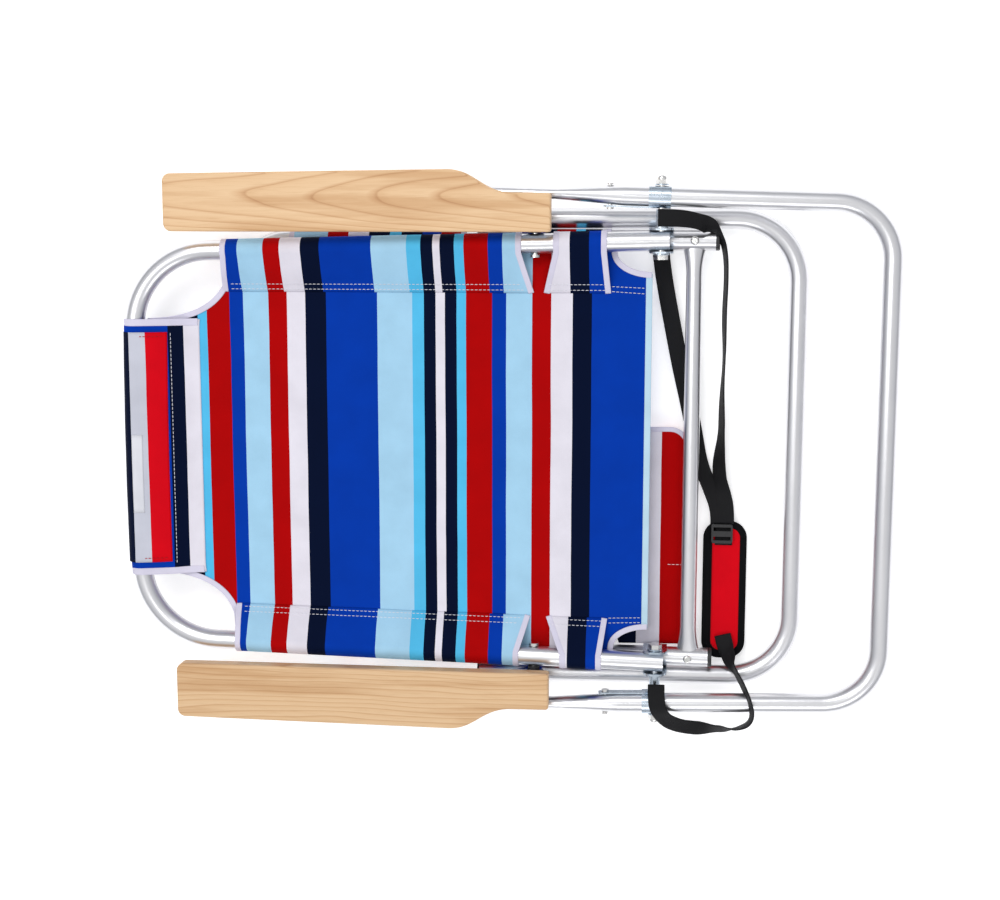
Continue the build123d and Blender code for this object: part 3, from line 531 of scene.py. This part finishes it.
def crowned(name, cx, cy, hx, hy, r, z0, z1, rings, mat, edge=0.35):
    """pillow-like closed form from concentric outlines"""
    verts, faces = [], []
    prof = []
    for i in range(rings + 1):
        t = i / rings
        prof.append((1 - t, 1))
    levels = []
    m = (z0 + z1) / 2
    for t in [i / rings for i in range(rings)]:
        s = 1 - t
        h = (1 - (1 - t) ** 6) ** 0.5
        levels.append((s, m + (z1 - m) * (edge + (1 - edge) * h if t > 0 else 0)))
    low = [(s, m - (z - m)) for s, z in levels[1:]]
    n = None
    seq = list(reversed(low)) + levels
    for s, z in seq:
        pts = rrect(cx, cy, max(hx * 0.02, hx - (1 - s) * min(hx, hy) * 1.0), hy - (1 - s) * min(hx, hy) * 1.0, max(0.6, r - (1 - s) * r * 1.0))
        n = len(pts)
        for x, y in pts:
            verts.append(P(x, y, z))
    k = len(seq)
    for i in range(k - 1):
        for j in range(n):
            a, b = i * n + j, i * n + (j + 1) % n
            faces.append((a, b, b + n, a + n))
    faces.append(tuple(reversed(range(n))))
    faces.append(tuple((k - 1) * n + j for j in range(n)))
    return mesh_obj(name, verts, faces, mat)


PADRED = cloth("pad_red", [(-620, BRIGHT)], weave=3400, rough=0.8, sheen=0.05)
PADBLK = cloth("pad_binding", [(-620, (0.004, 0.004, 0.005))], weave=3800, rough=0.8, sheen=0.03)
pad_base = crowned("strap_pad_back", 77.8, -162, 24.0, 80.0, 19, 0.4, 7.4, 10, PADBLK)
pad_red = crowned("strap_pad_face", 79.3, -161.5, 16.6, 73, 12, 3.2, 9.4, 10, PADRED, edge=0.5)
ring = [P(x, y, 6.4) for x, y in rrect(77.8, -162, 20.6, 76.6, 15.6, 12)]
ring = resample(ring + [ring[0]], 0.003)
bind = band_along("strap_pad_edge", ring, [Vector((0, 0, 1)).cross((ring[min(i + 1, len(ring) - 1)] - ring[max(i - 1, 0)]).normalized()) for i in range(len(ring))], 0.0085, 0.0040, PADBLK, caps=True)
top_tab = band_along("strap_pad_top_tab", [P(76, -88 - 3 * i, 9.4 + 0.02 * i) for i in range(8)], [Vector((1, 0, 0))] * 8, 0.0195, 0.0016, WEB)
for o in (pad_base, pad_red, bind, top_tab):
    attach(o, "seat")
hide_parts("strap_pad")
tuple(path_long[0])
tuple(path_ret[-1])
tuple(path_short[0])

# ------------------------------------------------------------------ back sling
TAPER = 0.0235


def half(x):
    return 237 + TAPER * x


def edge_y(x):
    """half width of the back panel at x"""
    if x < -486:
        t = (x + 609) / 123
        return 146 + (209 - 146) * (1 - math.sqrt(max(0.0, 1 - t ** 3.0))) if t < 1 else 209
    if x < -51:
        return half(x) - 1
    t = min(1.0, (x + 51) / 42)
    return 226 - 25 * math.sqrt(max(0.0, 1 - (1 - t) ** 2)) if t > 0 else 226


XS = sorted(set([-581 + i * (581 - 486) / 26 for i in range(27)] + [-485.9 + i * (485.9 - 51.1) / 84 for i in range(85)] + [-50.9 + i * 41.9 / 16 for i in range(17)]))


def panel_pt(x, v):
    y = v * edge_y(x)
    z = 40.3 + 0.9 * noise.noise(Vector((x * 0.02, y * 0.006, 1.7))) + 0.7 * (1 - abs(v)) * math.exp(-((x + 300) / 240) ** 2)
    return P(x, y, z)


back_panel = sheet_grid("back_panel", lambda u, v: panel_pt(XS[min(len(XS) - 1, round(u * (len(XS) - 1)))], v * 2 - 1), len(XS) - 1, 64, 0.0009, PANEL)
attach(back_panel, "back")
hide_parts("back_fabric")

SL = 2 * math.atan(11.9 / 54)


def flap_section(t, inboard=54.0, r=12.05):
    """t 0 at the sewn inner edge, 1 at the underside of the tube; returns (inboard, up)"""
    slope = 2 * math.atan(r / inboard)
    tx, ty = r * math.sin(slope), r * math.cos(slope)
    run = math.hypot(inboard - tx, ty + r - 1.0)
    arc = r * (math.pi - (math.pi / 2 - (math.pi / 2 - slope)) + 0.0)
    a0 = math.pi / 2 - slope
    arc_len = r * (1.5 * math.pi - a0)
    total = run + arc_len
    s = t * total
    if s < run:
        f = s / run
        u = inboard + (tx - inboard) * f
        w = -(r - 1.3) + (ty + r - 1.3) * f
        w += 1.5 * math.sin(math.pi * f) ** 1.4
        return u, w
    a = a0 + (s - run) / r
    return r * math.cos(a), r * math.sin(a)


def inner_y(side, x):
    return 179.0 if side > 0 else 191.6 + 0.0154 * x


def flap(name, side, inner, outer, mat=FLAPS, seed=0.0):
    """inner, outer: (x0, x1) at the sewn edge and round the tube"""
    def fn(u, v):
        t = v
        k = min(1.0, t / 0.5)
        x0 = inner[0] + (outer[0] - inner[0]) * k
        x1 = inner[1] + (outer[1] - inner[1]) * k
        x = x0 + (x1 - x0) * u
        a, w = flap_section(t, inboard=half(x) - inner_y(side, x))
        if t < 0.5:
            w += 0.55 * noise.noise(Vector((x * 0.05 + seed, t * 3, seed))) * math.sin(math.pi * t * 2)
        return P(x, side * (half(x) - a), 52 + w)
    n = max(10, int(abs(inner[1] - inner[0]) / 5))
    o = sheet_grid(name, fn, n, 40, 0.0008, mat)
    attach(o, "back")
    # binding along both raw ends
    for tag, u in (("a", 0.0), ("b", 1.0)):
        path = [fn(u, i / 60) for i in range(61)]
        dirs = [Vector((1, 0, 0))] * 61
        e = band_along(name + "_binding_" + tag, [p + Vector((0.0021 if u == 0 else -0.0021, 0, 0)) for p in path], dirs, 0.0066, 0.0016, BIND)
        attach(e, "back")
    # double row of stitching near the inner edge
    rows = []
    for t in (0.035, 0.105):
        rows.append(([fn(i / 120, t) + Vector((0, 0, 0.0006)) for i in range(3, 118)], Vector((0, side * 0.39, 0.92)).normalized()))
    stitches(name + "_stitching", rows, "back")
    return o


for side, w in ((1, "right"), (-1, "left")):
    flap("back_flap_long_" + w, side, (-493, -141) if side > 0 else (-486, -144), (-490, -154) if side > 0 else (-483.5, -156), seed=3.0 * side)
    flap("back_flap_short_" + w, side, (-128, -55.5) if side > 0 else (-124, -56), (-116.5, -60) if side > 0 else (-107, -62), seed=5.0 * side)

# binding round the four concave corners and the hem at the hinge end
for side, w in ((1, "right"), (-1, "left")):
    pts = [P(x, side * (edge_y(x) - 1.6), 41.4) for x in [-583 + i * 99 / 60 for i in range(60)]]
    ds = [Vector((0, 0, 1)).cross(t) for t in frames(pts)]
    o = band_along("head_corner_binding_" + w, pts, ds, 0.0066, 0.0018, BIND)
    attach(o, "back")
    pts = [P(x, side * (edge_y(x) - 1.6), 41.4) for x in [-50.9 + i * 41.4 / 60 for i in range(61)]]
    pts = [P(-52, side * 233, 41.4)] + pts
    pts = resample(pts, 0.002)
    ds = [Vector((0, 0, 1)).cross(t) for t in frames(pts)]
    o = band_along("hinge_corner_binding_" + w, pts, ds, 0.0066, 0.0018, BIND)
    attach(o, "back")
for side, w, rr in ((1, "right", ((186.5, 184.8), (181.0, 178.6))), (-1, "left", ((190.5, 189.0), (196.2, 194.6)))):
    stitches("hem_end_stitching_" + w, [([P(-54 + 37 * i / 60, side * (ya + (yb - ya) * i / 60), 0) + Vector((0, 0, panel_pt(-54 + 37 * i / 60, side * ya / edge_y(-54 + 37 * i / 60)).z + 0.0008)) for i in range(61)], Vector((0, 0, 1))) for ya, yb in rr], "back")
hem = band_along("hinge_hem", [P(-12.5, -199 + 398 * i / 60, 41.2) for i in range(61)], [Vector((1, 0, 0))] * 61, 0.0072, 0.0016, cloth("hem_pale", [(-620, srgb(196, 226, 242))], weave=3000))
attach(hem, "back")


# head sleeve over the top of the tube
def head_fn(u, v, r=12.05, lift=0.0):
    y = -147 + 294 * u
    bend = max(0.0, abs(y) - 134)
    back = bend * bend / (2 * 89)
    slope = 2 * math.atan(r / 58.0)
    if v < 0.62:
        f = v / 0.62
        inb = 72 + (r * math.sin(slope) - 72) * f
        w = -10.6 + (r * math.cos(slope) + 10.6) * f
        k = max(0.0, (inb - 40) / 32)
        w = -10.3 * k + (1 - k) * w if inb > 40 else w
        w = max(w, -10.6) + 1.0 * math.sin(math.pi * f)
    else:
        a = (math.pi / 2 - slope) + (v - 0.62) / 0.38 * (math.pi + slope)
        inb, w = r * math.cos(a), r * math.sin(a)
    x = -595 + back + inb
    w += 0.4 * noise.noise(Vector((y * 0.02, v * 4, 2.0))) + lift
    return P(x, y, 52 + w)


HEADC = cloth("head_flap_stripes", [(-620, BLUE), (-558, NAVY), (-541, WHITE), (-519, WHITE)])
head = sheet_grid("head_flap", lambda u, v: head_fn(u, v), 60, 44, 0.0008, HEADC)
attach(head, "back")
for side, w in ((0.0, "left"), (1.0, "right")):
    pts = [head_fn(side, 0.02 + 0.95 * i / 60) + Vector((0, 0.003 if side == 0 else -0.003, 0.0004)) for i in range(61)]
    o = band_along("head_flap_binding_" + w, pts, [Vector((0, 1, 0))] * 61, 0.0080, 0.0016, BIND)
    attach(o, "back")
stitches("head_stitching", [([head_fn(0.04 + 0.92 * i / 100, 0.283) + Vector((0, 0, 0.0007)) for i in range(101)], Vector((0.3, 0, 0.95)).normalized())], "back")


# loose band over the head, sewn at both ends
def band_fn(u, v):
    y = -133 + 266 * u
    mid = math.sin(math.pi * u)
    skew = (0.5 - u) * -1.6
    r = 13.3
    a_out = math.pi * 1.12
    a_in = math.pi / 2 - 2 * math.atan(12.05 / 58.0)
    if v < 0.45:
        f = v / 0.45
        hs = 2 * math.atan(12.05 / 58.0)
        inb = 37.5 + (r * math.sin(hs) - 37.5) * f
        w = r * math.cos(hs) - (inb - r * math.sin(hs)) * 0.312 + 1.1 * math.sin(math.pi * f) + 0.5 * (1 - f)
    else:
        a = a_in + (v - 0.45) / 0.55 * (a_out - a_in)
        inb, w = r * math.cos(a), r * math.sin(a)
    x = -595 + inb + skew - 1.2 * mid
    w += 0.8 * mid * math.sin(math.pi * min(1, v / 0.6)) + 0.35 * noise.noise(Vector((y * 0.03, v * 3, 9.0)))
    return P(x, y, 52 + w)


BANDC = cloth("head_band_stripes", [(-620, NAVY), (-599.5, GREY), (-581.4, BRIGHT), (-540, BRIGHT)], rough=0.7, sheen=0.0)
hb = sheet_grid("head_band_cloth", band_fn, 60, 30, 0.0010, BANDC)
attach(hb, "back")
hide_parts("head_band")
# lighter sheet laid over the grey stripe of the head band: a painted highlight standing in for light falling on the
# band
highlight_sheet = sheet_grid("head_band_painted_highlight", lambda u, v: band_fn(0.22 + 0.34 * u, 0.385 + 0.205 * v) + Vector((0, 0, 0.0008)), 16, 8, 0.0005, plain_cloth("band_painted_highlight", srgb(228, 229, 236), weave=1800))
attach(highlight_sheet, "back")
rows = []
for u in (0.018, 0.982):
    rows.append(([band_fn(u, 0.06 + 0.36 * i / 30) + Vector((0, 0, 0.0009)) for i in range(31)], Vector((0.2, 0, 1)).normalized()))
stitches("head_band_stitching", rows, "back", mat=plain_cloth("red_thread", srgb(200, 30, 40), weave=6000))

# ------------------------------------------------------------------ seat sling
ST = math.atan((26.2 - 12.45) / 483)


def S(x, y, z):
    """seat-frame coordinates to the row frame"""
    return P(x * math.cos(ST) - z * math.sin(ST), y, 26.2 + x * math.sin(ST) + z * math.cos(ST))


def seat_edge(x):
    if x < -420:
        t = (x + 492) / 72
        return 152 + 60 * (1 - math.sqrt(max(0.0, 1 - max(0, t) ** 2.2)))
    if x < -55:
        return 236
    t = min(1.0, (x + 55) / 38)
    return 222 - 22 * math.sqrt(max(0.0, 1 - (1 - t) ** 2))


XB = [-484 + i * 64 / 20 for i in range(21)] + [-419.9 + i * (364.8) / 72 for i in range(73)] + [-54.9 + i * 36.9 / 12 for i in range(13)]
seat_panel = sheet_grid("seat_panel", lambda u, v: S(XB[min(len(XB) - 1, round(u * (len(XB) - 1)))], (v * 2 - 1) * seat_edge(XB[min(len(XB) - 1, round(u * (len(XB) - 1)))]),
                        11.6 - 0.5 * (1 - abs(v * 2 - 1)) + 0.3 * noise.noise(Vector((u * 8, v * 6, 4)))), len(XB) - 1, 56, 0.0009, SEATC)
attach(seat_panel, "seat")
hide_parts("seat_fabric")


def seat_flap(name, side, x0, x1, seed):
    def fn(u, v):
        a, w = flap_section(v, r=11.9)
        x = x0 + (x1 - x0) * u
        return S(x, side * (237 - a), -w)
    o = sheet_grid(name, fn, max(10, int(abs(x1 - x0) / 6)), 36, 0.0007, SEATC)
    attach(o, "seat")
    for tag, u in (("a", 0.0), ("b", 1.0)):
        path = [fn(u, i / 50) for i in range(51)]
        e = band_along(name + "_binding_" + tag, [p + Vector((0.002 if u == 0 else -0.002, 0, 0)) for p in path], [Vector((1, 0, 0))] * 51, 0.006, 0.0013, BIND)
        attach(e, "seat")
    rows = [([fn(i / 100, t) - Vector((0, 0, 0.0006)) for i in range(3, 98)], Vector((0, side * 0.39, -0.92)).normalized()) for t in (0.02, 0.065)]
    stitches(name + "_stitching", rows, "seat")


for side, w in ((1, "right"), (-1, "left")):
    seat_flap("seat_flap_front_" + w, side, -419, -218, 2.0 * side)
    seat_flap("seat_flap_rear_" + w, side, -162, -56, 4.0 * side)


def seat_front_fn(u, v):
    a, w = flap_section(v, inboard=48, r=11.9)
    return S(-483 + a, -149 + 298 * u, -w)


sf = sheet_grid("seat_front_flap", seat_front_fn, 50, 36, 0.0007, SEATC)
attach(sf, "seat")
stitches("seat_front_stitching", [([seat_front_fn(0.03 + 0.94 * i / 90, t) - Vector((0, 0, 0.0006)) for i in range(91)], Vector((0, 0, -1))) for t in (0.02, 0.065)], "seat")
for side, w in ((1, "right"), (-1, "left")):
    pts = [S(x, side * (seat_edge(x) - 1.6), 12.3) for x in [-484 + i * 64 / 50 for i in range(51)]]
    o = band_along("seat_front_corner_binding_" + w, pts, [Vector((0, 0, 1)).cross(t) for t in frames(pts)], 0.006, 0.0014, BIND)
    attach(o, "seat")

# pouch under the rear of the seat
POUCHC = cloth("pouch_stripes", [(-620, PALE), (-190, NAVY), (-160, RED), (-130, BLUE), (-80, PALE), (-58, NAVY), (-40, NAVY), (-24, WHITE), (-6, WHITE), (2, RED), (30, PALE)], weave=2600)


def pouch_fn(u, v):
    x = -118 + 151 * u
    lo = -178.0 if x < -52 else -178 - 48 * min(1.0, (x + 52) / 8.0)
    hi = 25.0
    if x > 14:
        hi = 25 - 20 * (1 - math.sqrt(max(0.0, 1 - ((x - 14) / 20) ** 2)))
    y = lo + (hi - lo) * v
    if x < -60:
        z = 9.7 - 18.4 * (x + 118) / 58
    else:
        z = -8.7 - 7.2 * (x + 60) / 94
    return S(x, y, z + 0.6 * noise.noise(Vector((x * 0.05, y * 0.02, 6))))


pouch = sheet_grid("seat_pouch_cloth", pouch_fn, 48, 48, 0.0022, POUCHC)
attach(pouch, "seat")
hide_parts("seat_pouch")
edge = [pouch_fn(0.60 + 0.40 * i / 30, 1.0) for i in range(31)] + [pouch_fn(1.0, 1 - i / 40) for i in range(1, 41)]
edge = resample([p + Vector((0, 0, 0.0006)) for p in edge], 0.003)
inw = [Vector((0, 0, 1)).cross(t) for t in frames(edge)]
o = band_along("seat_pouch_binding", [p - Vector((0.0012, 0.0008, 0)) for p in edge], inw, 0.0056, 0.0032, BIND)
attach(o, "seat")
stitches("seat_pouch_stitching", [([S(12 + 20 * i / 20, -132, -13.0) + Vector((0, 0, 0.001)) for i in range(21)], Vector((0, 0, 1)))], "seat")

# ------------------------------------------------------------------ materials of the CAD nodes
SLOT = {"aluminium": ALU, "zinc": ZINC, "rivet": NICKEL, "black_plastic": PLASTIC}
for sp in frame["record"]["subparts"]:
    ob = frame["nodes"].get(sp["node"])
    if ob is None:
        continue
    mat = SLOT.get(sp["material_slot"])
    if sp["node"] == "arm_board_right":
        mat = WOOD_R
    if sp["node"] == "arm_board_left":
        mat = WOOD_L
    if mat is None:
        continue
    ob.data.materials.clear()
    ob.data.materials.append(mat)

# ------------------------------------------------------------------ stage and light
me = bpy.data.meshes.new("floor")
me.from_pydata([(-6, -6, -0.0002), (6, -6, -0.0002), (6, 6, -0.0002), (-6, 6, -0.0002)], [], [(0, 1, 2, 3)])
floor = bpy.data.objects.new("floor", me)
C.objects.link(floor)
fm, nt, b = new_mat("floor_white")
b.inputs["Base Color"].default_value = (0.93, 0.93, 0.93, 1)
b.inputs["Roughness"].default_value = 0.9
b.inputs["Specular IOR Level"].default_value = 0.1
b.inputs["Emission Color"].default_value = (1, 1, 1, 1)
b.inputs["Emission Strength"].default_value = 0.42
me.materials.append(fm)

world = bpy.data.worlds.new("studio")
bpy.context.scene.world = world
world.use_nodes = True
wn = world.node_tree
wtc = node(wn, "ShaderNodeTexCoord")
wsep = node(wn, "ShaderNodeSeparateXYZ")
wn.links.new(wtc.outputs["Generated"], wsep.inputs[0])
wn.links.new(ramp(wn, wsep.outputs["Z"], [(0.0, (0.52, 0.53, 0.56)), (0.2, (0.52, 0.53, 0.56)), (0.6, (0.84, 0.85, 0.88)), (1.0, (1.0, 1.0, 1.0))]), wn.nodes["Background"].inputs["Color"])
wn.nodes["Background"].inputs["Strength"].default_value = 0.8


def area(name, loc, target, size, power):
    l = bpy.data.lights.new(name, "AREA")
    l.shape = "RECTANGLE"
    l.size, l.size_y = size
    l.energy = power
    o = bpy.data.objects.new(name, l)
    C.objects.link(o)
    o.location = loc
    d = Vector(target) - Vector(loc)
    o.rotation_euler = d.to_track_quat("-Z", "Y").to_euler()
    return o


area("key", (-0.5, 1.5, 2.2), (0, 0, 0), (1.4, 0.7), 17)
area("fill", (0.5, -1.8, 1.8), (0, 0, 0), (1.6, 0.6), 9)
area("top", (-0.9, 0.1, 2.6), (0, 0, 0), (0.4, 2.0), 8)
bpy.context.scene.view_settings.view_transform = "Standard"
bpy.context.scene.view_settings.look = "None"
